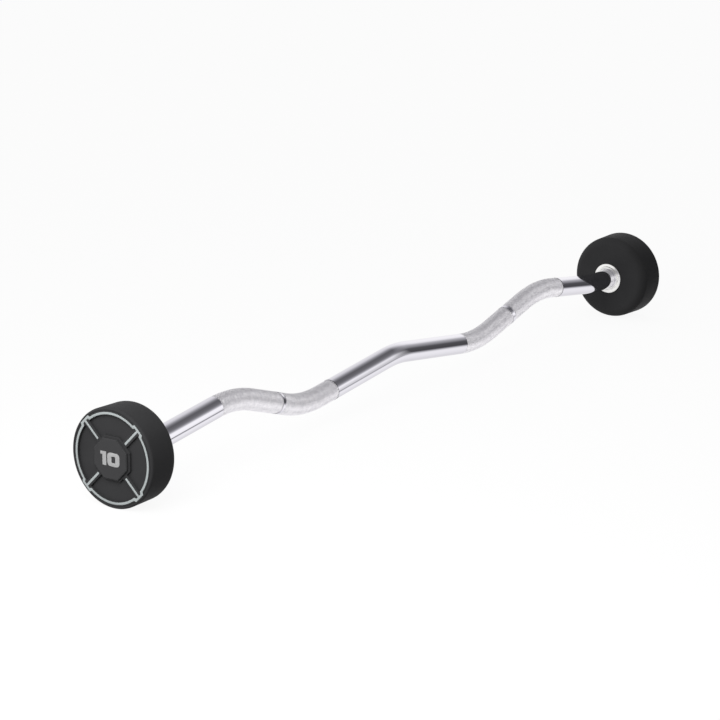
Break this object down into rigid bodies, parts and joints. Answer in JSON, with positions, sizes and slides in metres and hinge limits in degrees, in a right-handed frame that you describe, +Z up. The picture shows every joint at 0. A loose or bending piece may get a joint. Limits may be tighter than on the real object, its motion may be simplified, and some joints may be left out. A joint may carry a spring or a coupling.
{
  "type": "curl barbell",
  "caption": "Fixed weight curl barbell: a chrome steel bar with a zigzag middle and knurled grips, between two round urethane covered heads with octagonal number plates.",
  "frame": {"origin": "on the ground under the bar's middle, halfway between the two heads' outer faces", "axes": "+X along the bar towards the head that is far from the camera in the picture, +Z up with the numerals upright, -Y towards the camera"},
  "size_m": [1.193, 0.122, 0.122],
  "materials": {
    "chrome_bar": "polished, knurled on the grips",
    "chrome_collar": "turned",
    "urethane": "matt",
    "plate_black": "matt",
    "silver_line": "satin",
    "numeral_grey": "satin",
    "iron": "raw",
    "plain_steel": "zinc plated"
  },
  "bodies": {
    "root": {"bar": "chrome_bar", "left_core": "iron", "left_cover": "urethane", "left_collar": "chrome_collar", "left_ring_inlay": "silver_line", "left_spoke_inlays": "silver_line", "left_number_plate": "plate_black", "left_numerals": "numeral_grey", "left_bolt": "plain_steel", "left_washer": "plain_steel", "left_split_washer": "plain_steel", "left_key": "plain_steel", "right_core": "iron", "right_cover": "urethane", "right_collar": "chrome_collar", "right_ring_inlay": "silver_line", "right_spoke_inlays": "silver_line", "right_number_plate": "plate_black", "right_numerals": "numeral_grey", "right_bolt": "plain_steel", "right_washer": "plain_steel", "right_split_washer": "plain_steel", "right_key": "plain_steel"}
  },
  "joints": []
}
